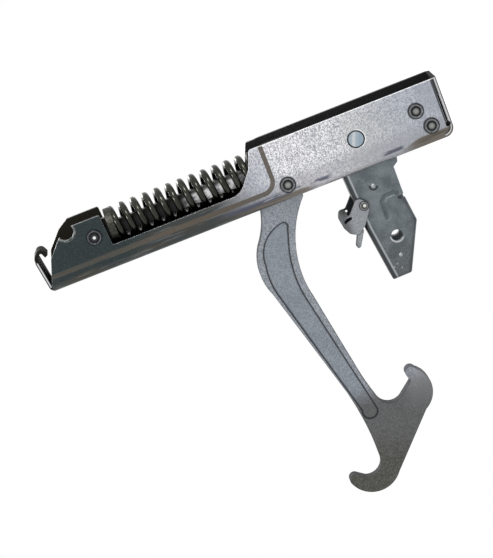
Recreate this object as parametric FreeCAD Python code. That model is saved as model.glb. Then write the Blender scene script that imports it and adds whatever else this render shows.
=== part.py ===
import FreeCAD, Part
import math
import os

# Oven door hinge, door closed. The foot of the channel is at Z 0, the channel stands along Z,
# its open side faces +X, the rivets run along Y, and the claw arm and bracket reach out to -X.
# The sizes below measure X from the outer face of the web. The saved pieces are moved so that
# the origin is at the centre of the foot plate's outer face.

# Sheet and channel
sheet = 1.8
channel_length = 217.9
channel_width = 26.0
channel_depth = 30.9
bend_radius = 3.0
foot_bend_radius = 5.0
joggle_depth = 0.8
joggle_run = 2.6
joggle_x = 8.6
joggle_z = 95.6
joggle_corner = 5.0

# Spring opening and screw block of the walls
opening_x = 11.5
opening_foot_z = 100.0
opening_from_top = 37.4
opening_corner = 1.2
shoulder_width = 9.9
shoulder_rise = 4.0
shoulder_radius = 6.0
throat_rise = 12.0
throat_radius = 9.0
block_x = 28.1
block_from_top = 13.4
block_corner = 1.0
block_slope = 6.0
screw_notch_radius = 4.2
screw_notch_x = 26.4
screw_notch_from_top = 17.7
screw_notch_back = 2.1
top_slope_x = 16.1
top_slope_drop = 6.0
top_slope_radius = 2.0
top_edge_drop = 1.6

# Foot end plate and top end tab
foot_tab_x = 22.5
foot_gap = 0.9
foot_slit = 0.2
foot_relief_radius = 1.4
foot_relief_x = 6.6
tab_lean = 8.0
tab_shoulder_x = 16.4
tab_fold_x = 17.8
tab_peak_x = 23.5
tab_peak_drop = 2.2
tab_end_x = 17.6
tab_end_drop = 4.8
tab_root = 4.0
tab_fold_radius = 2.6
tab_side_step = 3.1
tongue_half_width = 6.5
tongue_tip_half_width = 4.5

# Slots in the web
bracket_slot_foot_z = 4.6
bracket_slot_mid_z = 31.4
bracket_slot_rise = 9.2
bracket_slot_margin = 0.7
bracket_slot_edge = 0.4
arm_slot_side = 1.2

# Rivets
rivet_radius = 2.5
rivet_head_radius = 4.0
rivet_head_height = 1.1
rivet_groove_radius = 3.1
rivet_groove_depth = 0.5
rivet_core_radius = 2.3
rivet_fit = 0.04
running_fit = 0.06
face_gap = 0.1

# Claw arm. Its outline is drawn in hundredths of its reach.
arm_thickness = 6.0
arm_pivot_x = 7.6
arm_pivot_z = 88.1
arm_reach = 165.0
arm_hub_radius = 7.4
arm_hub_step = 1.0
arm_hub_start = 20.0
arm_hub_end = 96.0
arm_spacer_radius = 4.4
arm_swing = 28.0
pocket_depth = 0.6
crank_radius = 15.0
crank_pin_radius = 3.0
crank_lobe_radius = 5.5
crank_head_radius = 4.2
crank_head_height = 1.5

# Push yoke and its slot
yoke_cheek = 3.0
yoke_gap = 0.4
yoke_slot_clearance = 0.3
yoke_wall = 2.3
yoke_corner = 1.0
yoke_shoulder = 4.0
yoke_bridge_gap = 1.5
yoke_bridge_height = 8.0
yoke_bridge_slope = 2.0

# Spring, seats and flat guide bar
spring_x = 18.3
spring_side_gap = 0.4
wire_radius = 1.75
spring_pitch = 6.3
seat_step = 0.4
lower_seat_height = 2.5
upper_seat_height = 3.5
upper_seat_drop = 11.7
seat_lip = 1.6
seat_lip_radius = 6.2
rod_x = 17.1
rod_width = 7.4
rod_thickness = 3.6
rod_fit = 0.3
rod_foot_reach = 0.5
rod_eye_radius = 6.5
anchor_x = 18.5
anchor_from_top = 30.2
anchor_spacer_radius = 4.6

# Foot bracket. Its outline is drawn in hundredths of its reach.
bracket_reach = 70.7
bracket_side_gap = 2.7
bracket_sheet = 2.0
bracket_pivot_x = 8.9
bracket_pivot_z = 10.5
bracket_pivot_radius = 3.0
bracket_hub_radius = 5.6
bracket_hole_radius = 3.0
bracket_hole_x = -38.3
bracket_hole_z = 45.6
bracket_bend_radius = 2.4
bracket_mouth = 20.0
bush_radius = 5.2
heel_radius = 8.0
heel_corner = 0.6
heel_width = 22.0
stop_gap = 0.3

# Pips pressed out of the bracket's near cheek
lance_x = -10.0
lance_z = 48.0
lance_radius = 2.4
lance_width = 0.9
lance_depth = 0.6
lance_pip_radius = 1.3
ring_x = -48.5
ring_z = 47.1
ring_radius = 1.2
pip_height = 0.5
mark_radius = 0.6
mark_height = 0.25
lance_turn = 200.0

# Groove pressed into the bracket's near cheek
groove_radius = 2.6
groove_depth = 0.45

# Stops across the channel
open_stop_x = 18.7
open_stop_z = 15.4
open_stop_sleeve_radius = 3.5
closed_stop_x = 16.5
closed_stop_z = 48.2
closed_stop_pin_radius = 4.5
closed_stop_pin_chamfer = 0.4
closed_stop_sleeve_radius = 5.6

# Latch. Its outline is drawn in hundredths of its reach.
latch_reach = 20.0
latch_sheet = 1.4
latch_x = -17.5
latch_z = 56.1
latch_pin_radius = 1.6
latch_pin_head_radius = 2.4
latch_pin_head_height = 0.9
latch_pin_head_chamfer = 0.5
latch_gap = 0.2
latch_finger_width = 4.0

# Values that follow from the sizes above
half_width = channel_width / 2
inner_half = half_width - sheet
block_half = half_width - joggle_depth
block_inner_half = block_half - sheet
opening_top_z = channel_length - opening_from_top
block_end_z = channel_length - block_from_top
screw_notch_z = channel_length - screw_notch_from_top
anchor_z = channel_length - anchor_from_top
upper_seat_z = anchor_z - upper_seat_drop
tab_half_width = half_width - tab_side_step
bracket_half = inner_half - bracket_side_gap
bracket_inner_half = bracket_half - bracket_sheet
arm_half = arm_thickness / 2
arm_slot_half_width = arm_half + arm_slot_side
crank_rest_angle = math.radians(arm_swing / 2)
crank_x = arm_pivot_x + crank_radius * math.cos(crank_rest_angle)
crank_z = arm_pivot_z - crank_radius * math.sin(crank_rest_angle)
yoke_bridge_z = crank_z + crank_lobe_radius + yoke_bridge_gap
lower_seat_z = yoke_bridge_z + yoke_bridge_height
spring_foot_z = lower_seat_z + lower_seat_height
spring_length = upper_seat_z - spring_foot_z
spring_radius = block_inner_half - spring_side_gap
seat_radius = spring_radius - seat_step
coil_radius = spring_radius - wire_radius
yoke_inner_half = arm_half + yoke_gap
yoke_outer_half = yoke_inner_half + yoke_cheek
latch_inner_half = bracket_half + latch_gap
latch_outer_half = latch_inner_half + latch_sheet


def point(x, z, y=0.0):
    return FreeCAD.Vector(x, y, z)


def rounded_wire(corners, y=0.0):
    """Closed outline in the XZ plane. A corner is (x, z) or (x, z, radius)."""
    edges = []
    starts = []
    ends = []
    count = len(corners)
    for index in range(count):
        here = point(corners[index][0], corners[index][1], y)
        before = point(corners[index - 1][0], corners[index - 1][1], y)
        after = point(corners[(index + 1) % count][0], corners[(index + 1) % count][1], y)
        radius = corners[index][2] if len(corners[index]) > 2 else 0.0
        back = (before - here).normalize()
        ahead = (after - here).normalize()
        half_angle = back.getAngle(ahead) / 2
        if radius > 0:
            reach = radius / math.tan(half_angle)
            first = here + back * reach
            last = here + ahead * reach
            bisector = (back + ahead).normalize()
            middle = here + bisector * (radius / math.sin(half_angle) - radius)
            edges.append(Part.Arc(first, middle, last).toShape())
        else:
            first = here
            last = here
        starts.append(first)
        ends.append(last)
    for index in range(count):
        nxt = (index + 1) % count
        if (starts[nxt] - ends[index]).Length > 1e-6:
            edges.append(Part.makeLine(ends[index], starts[nxt]))
    return Part.Wire(Part.__sortEdges__(edges))


def path_wire(start, steps, y=0.0):
    """Closed outline in the XZ plane. A step is (x, z) for a line, or (x, z, x, z) for an arc
    through its first point to its second."""
    edges = []
    here = point(start[0], start[1], y)
    for step in steps:
        if len(step) == 2:
            there = point(step[0], step[1], y)
            edges.append(Part.makeLine(here, there))
        else:
            there = point(step[2], step[3], y)
            edges.append(Part.Arc(here, point(step[0], step[1], y), there).toShape())
        here = there
    return Part.Wire(edges)


def drawn_from(x, z, reach, corners):
    """Corners in hundredths of a reach, along -X and up Z from a point, as places in the XZ plane."""
    part = reach / 100.0
    placed = []
    for corner in corners:
        steps = list(corner)
        if len(steps) == 3:
            placed.append((x - steps[0] * part, z + steps[1] * part, steps[2] * part))
        else:
            spot = []
            for index in range(0, len(steps), 2):
                spot += [x - steps[index] * part, z + steps[index + 1] * part]
            placed.append(tuple(spot))
    return placed


def slab(wire, y_low, y_high):
    """Solid between two planes across Y, from an outline drawn at Y 0."""
    face = Part.Face(wire)
    face.translate(FreeCAD.Vector(0, y_low, 0))
    return face.extrude(FreeCAD.Vector(0, y_high - y_low, 0))


def cross_pin(x, z, radius, y_low, y_high):
    """Round bar along Y."""
    return Part.makeCylinder(radius, y_high - y_low, point(x, z, y_low), FreeCAD.Vector(0, 1, 0))


def block(x_low, x_high, y_low, y_high, z_low, z_high):
    size = (x_high - x_low, y_high - y_low, z_high - z_low)
    return Part.makeBox(size[0], size[1], size[2], FreeCAD.Vector(x_low, y_low, z_low))


def mirrored(shape):
    """The same shape on the far side of the channel."""
    return shape.mirror(FreeCAD.Vector(0, 0, 0), FreeCAD.Vector(0, 1, 0))


def tube(x, z, outer, inner, y_low, y_high):
    return cross_pin(x, z, outer, y_low, y_high).cut(cross_pin(x, z, inner, y_low, y_high))


def rivet(x, z, radius, wall_face):
    """Rivet across the channel, with a grooved formed head on each wall."""
    head_top = wall_face + rivet_head_height
    groove_foot = head_top - rivet_groove_depth
    body = cross_pin(x, z, radius, -wall_face, wall_face)
    head = cross_pin(x, z, rivet_head_radius, wall_face, head_top)
    rim = [edge for edge in head.Edges if edge.BoundBox.YMin > head_top - 1e-6]
    head = head.makeChamfer(rivet_groove_depth, rim)
    head = head.cut(tube(x, z, rivet_groove_radius, rivet_core_radius, groove_foot, head_top))
    return body.fuse(head).fuse(mirrored(head)).removeSplitter()


def joggle(face_y, step):
    """Space outside the pressed-in pad of one wall, between its two levels."""
    wires = []
    for level in (-1, 0):
        reach = -level * 2 * joggle_run
        low_x = joggle_x - reach
        low_z = joggle_z - reach
        far = channel_depth + 3 * joggle_run
        top = channel_length + 3 * joggle_run
        corner = joggle_corner + reach
        y = face_y + step * (1 + 2 * level)
        wires.append(rounded_wire([(low_x, low_z, corner), (far, low_z), (far, top), (low_x, top)], y))
    return Part.makeLoft(wires, True, True)


def bent(body, web_x, foot_z, foot_radius, side_radius):
    """Round the fold at the foot of a block, then the two folds along its web."""
    small = sheet / 4
    foot = [edge for edge in body.Edges
            if edge.BoundBox.XMax < web_x + small and edge.BoundBox.ZMax < foot_z + small]
    body = body.makeFillet(foot_radius, foot)
    sides = [edge for edge in body.Edges
             if edge.BoundBox.XMax < web_x + small and edge.BoundBox.ZLength > channel_length / 2]
    return body.makeFillet(side_radius, sides)


def channel_blank():
    """Folded U with its foot plate, walls pressed in beside and above the spring."""
    outer = block(0, channel_depth, -half_width, half_width, 0, channel_length)
    outer = bent(outer, 0, 0, foot_bend_radius, bend_radius)
    inner = block(sheet, channel_depth + sheet, -inner_half, inner_half, sheet, channel_length + sheet)
    inner = bent(inner, sheet, sheet, foot_bend_radius - sheet, bend_radius - sheet)
    near_outside = joggle(-half_width, joggle_depth)
    near_inside = joggle(-inner_half, joggle_depth)
    outer = outer.cut(near_outside).cut(mirrored(near_outside))
    inner = inner.cut(near_inside).cut(mirrored(near_inside))
    return outer.cut(inner)


def wall_outline():
    """Side view of the channel: tall plate, spring opening, screw block, sloped top end."""
    deep = -sheet
    foot_end = opening_foot_z + throat_rise
    top_end = channel_length - top_edge_drop
    return rounded_wire([
        (deep, -sheet),
        (channel_depth, -sheet),
        (channel_depth, opening_foot_z, block_corner),
        (opening_x + shoulder_width, opening_foot_z + shoulder_rise, shoulder_radius),
        (opening_x, foot_end, throat_radius),
        (opening_x, opening_top_z, opening_corner),
        (block_x, opening_top_z + block_corner, block_corner),
        (block_x, block_end_z - block_slope),
        (screw_notch_x - screw_notch_back, block_end_z),
        (top_slope_x, channel_length - top_slope_drop, top_slope_radius),
        (sheet + bend_radius - sheet / 2, top_end),
        (deep, top_end),
    ])


def strip_section(line, radius):
    """Section of a folded sheet from its outer line, (x, z) points, with its inner line one sheet in."""
    spots = [point(x, z) for x, z in line]
    normals = []
    for index in range(len(spots) - 1):
        along = (spots[index + 1] - spots[index]).normalize()
        normals.append(point(-along.z, along.x))
    outer = [(spots[0].x, spots[0].z)]
    inner = [(spots[0].x - normals[0].x * sheet, spots[0].z - normals[0].z * sheet)]
    for index in range(1, len(spots) - 1):
        before = normals[index - 1]
        after = normals[index]
        step = (before + after) * (sheet / (1 + before.dot(after)))
        outer.append((spots[index].x, spots[index].z, radius))
        inner.append((spots[index].x - step.x, spots[index].z - step.z, radius - sheet))
    outer.append((spots[-1].x, spots[-1].z))
    inner.append((spots[-1].x - normals[-1].x * sheet, spots[-1].z - normals[-1].z * sheet))
    return rounded_wire(outer + inner[::-1])


def end_tab():
    """Tab folded up from the web at the top end, its tongue hooked back over the channel."""
    lean = math.tan(math.radians(tab_lean))
    section = strip_section([
        (0, channel_length - tab_root),
        (0, channel_length),
        (tab_fold_x, channel_length + tab_fold_x * lean),
        (tab_peak_x, channel_length - tab_peak_drop),
        (tab_end_x, channel_length - tab_end_drop),
    ], tab_fold_radius)
    tab = slab(section, -tab_half_width, tab_half_width)
    corners = [
        (-1, tab_half_width),
        (tab_shoulder_x, tab_half_width),
        (tab_shoulder_x, tongue_half_width),
        (tab_peak_x + sheet, tongue_tip_half_width),
    ]
    low_z = channel_length - tab_peak_x
    edge = [FreeCAD.Vector(x, y, low_z) for x, y in corners]
    edge += [FreeCAD.Vector(x, -y, low_z) for x, y in reversed(corners)]
    front = Part.Face(Part.makePolygon(edge + edge[:1]))
    return tab.common(front.extrude(FreeCAD.Vector(0, 0, 2 * tab_peak_x)))


def foot_gaps():
    """Gaps that free the foot plate's edges from one wall."""
    wall_foot = sheet + foot_gap
    past_wall = half_width + 1
    step_x = foot_tab_x + foot_slit
    slit = inner_half - foot_slit
    relief_z = sheet + foot_gap / 2
    gap = block(foot_relief_x, step_x, inner_half, past_wall, sheet, wall_foot)
    side = block(foot_tab_x, channel_depth + 1, slit, inner_half, -1, wall_foot)
    step = block(foot_tab_x, step_x, slit, past_wall, -1, wall_foot)
    relief = cross_pin(foot_relief_x, relief_z, foot_relief_radius, inner_half, past_wall)
    return gap.fuse(side).fuse(step).fuse(relief)


def web_slots():
    """Slots where the arm and the bracket pass through the web."""
    reach = bend_radius + sheet / 4
    ends = drawn_from(arm_pivot_x, arm_pivot_z, arm_reach, [(0, -7.6), (0, 11.3)])
    arm_slot = block(-1, reach, -arm_slot_half_width, arm_slot_half_width, ends[0][1], ends[1][1])
    neck_half = bracket_half + bracket_slot_margin
    neck = block(-1, reach, -neck_half, neck_half, bracket_slot_foot_z, bracket_slot_mid_z + 1)
    wide_half = inner_half - bracket_slot_edge
    back_z = drawn_from(bracket_pivot_x, bracket_pivot_z, bracket_reach, bracket_back)[1][1]
    wide = block(-1, reach, -wide_half, wide_half, bracket_slot_mid_z, back_z + bracket_slot_rise)
    return arm_slot.fuse(neck).fuse(wide)


def channel():
    body = channel_blank().common(slab(wall_outline(), -half_width - 1, half_width + 1))
    body = body.fuse(end_tab())
    notch = cross_pin(screw_notch_x, screw_notch_z, screw_notch_radius, -half_width - 1, 0)
    body = body.cut(notch)
    body = body.cut(web_slots())
    gaps = foot_gaps()
    body = body.cut(gaps).cut(mirrored(gaps))
    holes = [
        (arm_pivot_x, arm_pivot_z, rivet_radius + rivet_fit),
        (anchor_x, anchor_z, rivet_radius + rivet_fit),
        (bracket_pivot_x, bracket_pivot_z, bracket_pivot_radius + rivet_fit),
        (open_stop_x, open_stop_z, rivet_radius + rivet_fit),
        (closed_stop_x, closed_stop_z, closed_stop_pin_radius + rivet_fit),
    ]
    for x, z, radius in holes:
        body = body.cut(cross_pin(x, z, radius, -half_width - 1, half_width + 1))
    return body.removeSplitter()


def hub_point(degrees):
    """Point on the rim of the arm's hub, as (x, z)."""
    angle = math.radians(degrees)
    return (arm_pivot_x + arm_hub_radius * math.cos(angle), arm_pivot_z + arm_hub_radius * math.sin(angle))


def arm_outline():
    """Claw arm seen from the side: crank, hub, swept beam, hook nose and claw."""
    lobe_low = (crank_x, crank_z - crank_lobe_radius)
    lobe_rise = math.sqrt(crank_lobe_radius ** 2 - arm_hub_step ** 2)
    lobe_high = (crank_x + arm_hub_step, crank_z + lobe_rise)
    hub_low = (arm_pivot_x - arm_hub_step, arm_pivot_z - arm_hub_radius)
    hub_side = hub_point(arm_hub_start)
    hub_over = hub_point((arm_hub_start + arm_hub_end) / 2)
    hub_high = hub_point(arm_hub_end)
    beam = drawn_from(arm_pivot_x, arm_pivot_z, arm_reach, [
        (5.4, 10.4),
        (10.8, 12.0, 16.2, 15.2),
        (23.6, 17.7, 31.6, 16.4),
        (50.6, 11.2, 69.9, 6.0),
        (81.4, 4.1, 93.4, 3.6),
        (97.6, 5.5, 98.1, 9.9),
        (96.4, 12.2),
        (96.2, 14.4, 98.0, 15.1),
        (103.9, 8.0, 100.3, -0.4),
        (84.3, -15.4),
        (77.6, -19.7, 70.5, -16.6),
        (69.5, -14.4, 71.7, -13.2),
        (74.0, -13.8),
        (77.1, -9.9),
        (78.2, -5.4, 74.6, -2.2),
        (69.4, -0.8, 62.5, 0.5),
        (50.3, 2.6, 37.9, 4.7),
        (28.7, 5.6, 18.8, 3.9),
        (12.2, 1.0, 6.3, -3.3),
    ])
    return path_wire(beam[0], beam[1:] + [
        hub_low,
        lobe_low,
        (crank_x + crank_lobe_radius, crank_z, lobe_high[0], lobe_high[1]),
        hub_side,
        hub_over + hub_high,
        beam[0],
    ])


def pocket_outline():
    """Shallow recess along the beam of the arm."""
    rim = drawn_from(arm_pivot_x, arm_pivot_z, arm_reach, [
        (11.59, 5.7),
        (14.63, 12.0, 22.37, 15.27),
        (27.77, 15.7, 33.22, 14.85),
        (55.37, 9.27, 77.32, 3.7),
        (80.88, 1.33, 77.26, -1.03),
        (57.27, 2.97, 37.54, 6.91),
        (28.72, 7.7, 20.34, 6.48),
        (14.0, 4.55),
        (12.16, 4.55, 11.59, 5.7),
    ])
    return path_wire(rim[0], rim[1:])


def claw_arm():
    arm = slab(arm_outline(), -arm_half, arm_half)
    recess = slab(pocket_outline(), -arm_half - 1, -arm_half + pocket_depth)
    arm = arm.cut(recess).cut(mirrored(recess))
    arm = arm.cut(cross_pin(arm_pivot_x, arm_pivot_z, rivet_radius + running_fit, -arm_half, arm_half))
    arm = arm.cut(cross_pin(crank_x, crank_z, crank_pin_radius + rivet_fit, -arm_half, arm_half))
    return arm


def crank_pin():
    """Pin pressed through the arm's crank, its heads outside the yoke."""
    inner = yoke_outer_half + yoke_gap
    pin = cross_pin(crank_x, crank_z, crank_pin_radius, -inner, inner)
    head = cross_pin(crank_x, crank_z, crank_head_radius, inner, inner + crank_head_height)
    return pin.fuse(head).fuse(mirrored(head)).removeSplitter()


def push_yoke():
    """Fork driven by the crank pin through a cross slot, with a bridge under the spring seat."""
    low_z = crank_z - crank_pin_radius - yoke_slot_clearance - yoke_wall
    slot_half = crank_pin_radius + yoke_slot_clearance
    slot_low_x = crank_x - slot_half
    slot_high_x = arm_pivot_x + crank_radius + slot_half
    low_x = slot_low_x - yoke_wall
    high_x = slot_high_x + yoke_wall
    outline = rounded_wire([
        (low_x, low_z, yoke_corner),
        (high_x, low_z, 2 * yoke_corner),
        (high_x, yoke_bridge_z + yoke_bridge_slope, 2 * yoke_corner),
        (spring_x + seat_radius - yoke_corner, lower_seat_z),
        (low_x - yoke_shoulder, lower_seat_z),
        (low_x - yoke_shoulder, yoke_bridge_z + yoke_shoulder - yoke_corner, yoke_corner),
        (low_x, yoke_bridge_z, yoke_corner),
    ])
    yoke = slab(outline, -yoke_outer_half, yoke_outer_half)
    yoke = yoke.cut(block(0, high_x + 1, -yoke_inner_half, yoke_inner_half, 0, yoke_bridge_z))
    slot = block(slot_low_x + slot_half, slot_high_x - slot_half, -yoke_outer_half, yoke_outer_half,
                 crank_z - slot_half, crank_z + slot_half)
    for x in (slot_low_x + slot_half, slot_high_x - slot_half):
        slot = slot.fuse(cross_pin(x, crank_z, slot_half, -yoke_outer_half, yoke_outer_half))
    yoke = yoke.cut(slot)
    return yoke.cut(rod_bore(0, lower_seat_z + 1))


def rod_bore(z_low, z_high):
    """Slot in which the guide bar slides."""
    half_x = rod_width / 2 + rod_fit
    half_y = rod_thickness / 2 + rod_fit
    return block(rod_x - half_x, rod_x + half_x, -half_y, half_y, z_low, z_high)


def spring_seat(base_z, height, lip_side):
    """Round seat with a lip inside the spring, slotted for the guide bar."""
    base = FreeCAD.Vector(spring_x, 0, base_z)
    seat = Part.makeCylinder(seat_radius, height, base)
    if lip_side > 0:
        lip_z = base_z + height
    else:
        lip_z = base_z - seat_lip
    seat = seat.fuse(Part.makeCylinder(seat_lip_radius, seat_lip, FreeCAD.Vector(spring_x, 0, lip_z)))
    return seat.cut(rod_bore(base_z - seat_lip, base_z + height + seat_lip)).removeSplitter()


def coil_spring():
    """Right-hand compression spring with ground ends."""
    height = spring_length
    helix = Part.makeHelix(spring_pitch, height + 2 * wire_radius, coil_radius)
    start = FreeCAD.Vector(coil_radius, 0, 0)
    tangent = FreeCAD.Vector(0, 2 * math.pi * coil_radius, spring_pitch)
    circle = Part.Wire(Part.Circle(start, tangent, wire_radius).toShape())
    coil = Part.Wire(helix).makePipeShell([circle], True, True)
    coil = Part.Solid(coil) if coil.ShapeType == "Shell" else coil
    coil.translate(FreeCAD.Vector(spring_x, 0, spring_foot_z - wire_radius))
    reach = spring_radius + 1
    return coil.common(block(spring_x - reach, spring_x + reach, -reach, reach,
                             spring_foot_z, spring_foot_z + height))


def guide_rod():
    """Flat bar with an eye held by the anchor rivet."""
    flat_z = upper_seat_z + upper_seat_height
    half_x = rod_width / 2
    half_y = rod_thickness / 2
    rod = block(rod_x - half_x, rod_x + half_x, -half_y, half_y, lower_seat_z - rod_foot_reach, flat_z)
    neck = slab(rounded_wire([
        (rod_x - rod_eye_radius, flat_z),
        (rod_x + rod_eye_radius, flat_z),
        (anchor_x + rod_eye_radius, anchor_z),
        (anchor_x - rod_eye_radius, anchor_z),
    ]), -half_y, half_y)
    eye = cross_pin(anchor_x, anchor_z, rod_eye_radius, -half_y, half_y)
    rod = rod.fuse(neck).fuse(eye)
    hole = cross_pin(anchor_x, anchor_z, rivet_radius + rivet_fit, -half_y, half_y)
    return rod.cut(hole).removeSplitter()


# Back of the bracket from its hub to its tip, its free edge from tip to hub, the pressed groove, and the
# three small marks near the tip, all in hundredths of the bracket's reach
bracket_back = [
    (7.3, 71.15, 4.24),
    (12.6, 71.15),
    (54.8, 68.88),
    (97.1, 63.1, 1.13),
]
bracket_edge = [
    (96.8, 48.8, 2.26),
    (61.8, 32.2, 2.12),
    (42.8, 34.51),
    (42.8, 39.75, 1.13),
    (40.13, 39.75, 1.13),
    (40.13, 34.94, 1.13),
    (18.96, 34.79, 1.41),
    (16.44, 30.98, 1.13),
]
step_path = [
    (38.4, 38.2),
    (36.5, 41.0),
    (36.8, 47.8),
    (39.6, 51.2),
    (52.4, 51.4),
]
tip_marks = [
    (86.8, 56.4),
    (88.1, 59.3),
    (90.4, 54.2),
]
groove_lift = FreeCAD.Vector(0, groove_depth - groove_radius, 0)


def bracket_outline():
    """Side view of the foot bracket, hub inside the channel and tip outside."""
    hub_top = bracket_pivot_x + bracket_hub_radius
    hub_low = bracket_pivot_x - bracket_hub_radius
    back = drawn_from(bracket_pivot_x, bracket_pivot_z, bracket_reach, bracket_back)
    edge = drawn_from(bracket_pivot_x, bracket_pivot_z, bracket_reach, bracket_edge)
    ends = drawn_from(hub_top, bracket_pivot_z, bracket_reach, [(0.3, 64.6, 4.24)])
    neck = drawn_from(hub_low, bracket_pivot_z, bracket_reach, [(0, 29.0, 2.83)])
    return rounded_wire([(hub_low, bracket_pivot_z), (hub_top, bracket_pivot_z)] + ends + back + edge + neck)


def bracket_heel():
    """Lobe of the hub that meets the open stop when the door is down."""
    reach = math.hypot(open_stop_x - bracket_pivot_x, open_stop_z - bracket_pivot_z)
    stop_angle = math.atan2(open_stop_z - bracket_pivot_z, open_stop_x - bracket_pivot_x)
    stop_half = math.asin((open_stop_sleeve_radius + stop_gap) / (reach - bracket_sheet))
    lead = stop_angle - stop_half - math.pi / 2
    trail = lead - math.radians(heel_width)
    steps = [(bracket_pivot_x, bracket_pivot_z)]
    for angle in (lead, trail):
        steps.append((bracket_pivot_x + heel_radius * math.cos(angle),
                      bracket_pivot_z + heel_radius * math.sin(angle)))
    return rounded_wire([(steps[0][0], steps[0][1]), (steps[1][0], steps[1][1], heel_corner),
                         (steps[2][0], steps[2][1], heel_corner)])


def dimple(x, z, radius, height):
    """Round pip pressed out of the near cheek of the bracket."""
    cap_radius = (radius * radius + height * height) / (2 * height)
    centre_y = -bracket_half + cap_radius - height
    ball = Part.makeSphere(cap_radius, point(x, z, centre_y))
    return ball.common(cross_pin(x, z, radius, -bracket_half - height, -bracket_half + height))


def rounded_back(body, half, radius):
    """Round the two long folds along the back of the bracket."""
    tip_z = drawn_from(bracket_pivot_x, bracket_pivot_z, bracket_reach, bracket_back)[-1][1]
    folds = []
    for edge in body.Edges:
        box = edge.BoundBox
        on_side = abs(abs(box.YMin) - half) < 1e-6 and box.YLength < 1e-6
        if on_side and box.ZMin > tip_z - sheet and box.XMax < sheet / 2 and box.XLength > bracket_reach / 4:
            folds.append(edge)
    return body.makeFillet(radius, folds)


def bracket_hollow():
    """Space between the cheeks, open at the bracket's free edge, its tip and its hub."""
    back = drawn_from(bracket_pivot_x, bracket_pivot_z, bracket_reach, bracket_back)
    roof = [(x, z - bracket_sheet) for x, z in [(spot[0], spot[1]) for spot in back]]
    low_z = -bracket_mouth
    hub_x = bracket_pivot_x + bracket_mouth
    past_tip = roof[-1][0] - bracket_mouth
    high_z = back[0][1] + bracket_mouth
    outline = [(hub_x, low_z), (hub_x, high_z), (roof[0][0] + bracket_sheet, high_z)]
    outline += roof + [(past_tip, roof[-1][1]), (past_tip, low_z)]
    return slab(rounded_wire(outline), -bracket_inner_half, bracket_inner_half)


def latch_window():
    """Window in the bracket's back that lets the latch swing."""
    ends = drawn_from(latch_x, latch_z, latch_reach, [(-23.5, -8.5), (46.5, 31.5)])
    return block(ends[1][0], ends[0][0], -bracket_inner_half, bracket_inner_half, ends[0][1], ends[1][1])


def lance():
    """Half-moon cut beside a pip, pressed into the near cheek."""
    face = -bracket_half
    ring = cross_pin(lance_x, lance_z, lance_radius, face - 1, face + lance_depth)
    ring = ring.cut(cross_pin(lance_x, lance_z, lance_radius - lance_width, face - 1, face + lance_depth))
    reach = 2 * lance_radius
    side = block(0, reach, face - 1, face + lance_depth, -reach, reach)
    side.rotate(FreeCAD.Vector(0, 0, 0), FreeCAD.Vector(0, 1, 0), lance_turn)
    side.translate(FreeCAD.Vector(lance_x, 0, lance_z))
    return ring.common(side)


def step_groove():
    """Pressed groove that runs from the notch across the near cheek and down towards the hole."""
    face = -bracket_half
    path = drawn_from(bracket_pivot_x, bracket_pivot_z, bracket_reach, step_path)
    groove = None
    for index in range(len(path) - 1):
        start = point(path[index][0], path[index][1], face)
        end = point(path[index + 1][0], path[index + 1][1], face)
        run = Part.makeCylinder(groove_radius, (end - start).Length, start + groove_lift, end - start)
        run = run.fuse(Part.makeSphere(groove_radius, end + groove_lift))
        groove = run if groove is None else groove.fuse(run)
    return groove


def bracket():
    """Folded U with its back towards the arm, a window in the back for the latch."""
    body = slab(bracket_outline(), -bracket_half, bracket_half)
    body = rounded_back(body, bracket_half, bracket_bend_radius)
    heel = slab(bracket_heel(), -bracket_half, bracket_half)
    hub = cross_pin(bracket_pivot_x, bracket_pivot_z, bracket_hub_radius, -bracket_half, bracket_half)
    body = body.fuse(hub).fuse(heel)
    body = body.cut(bracket_hollow()).cut(latch_window()).cut(step_groove()).cut(lance())
    bores = [
        (closed_stop_x, closed_stop_z, closed_stop_sleeve_radius + stop_gap),
        (bracket_pivot_x, bracket_pivot_z, bracket_pivot_radius + running_fit),
        (bracket_hole_x, bracket_hole_z, bracket_hole_radius),
        (latch_x, latch_z, latch_pin_radius + rivet_fit),
    ]
    for x, z, radius in bores:
        body = body.cut(cross_pin(x, z, radius, -bracket_half, bracket_half))
    body = body.fuse(dimple(lance_x, lance_z, lance_pip_radius, pip_height))
    body = body.fuse(dimple(ring_x, ring_z, ring_radius, pip_height))
    for x, z in drawn_from(bracket_pivot_x, bracket_pivot_z, bracket_reach, tip_marks):
        body = body.fuse(dimple(x, z, mark_radius, mark_height))
    return body.removeSplitter()


def latch_outline():
    """Side view of the latch: ear on its pin, curled back, finger root."""
    return rounded_wire(drawn_from(latch_x, latch_z, latch_reach, [
        (-20.5, 4.0, 12),
        (-3.5, -15.5, 12),
        (14.8, -9.0, 14),
        (47.4, 13.3, 14),
        (66.5, 37.0, 14),
        (54.9, 57.5, 16),
        (31.0, 69.5, 16),
        (9.5, 61.0, 10),
        (10.5, 43.0, 8),
        (-6.0, 28.0, 10),
        (-21.5, 15.0, 8),
    ]))


def curl_gap():
    """Gap between the latch's cheek and its curled back."""
    return slab(rounded_wire(drawn_from(latch_x, latch_z, latch_reach, [
        (14.8, 39.0),
        (14.5, 51.0, 6),
        (20.5, 61.5),
        (27.5, 60.5),
        (24.0, 50.5, 6),
        (21.0, 40.0),
    ])), -latch_outer_half, latch_outer_half)


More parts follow.
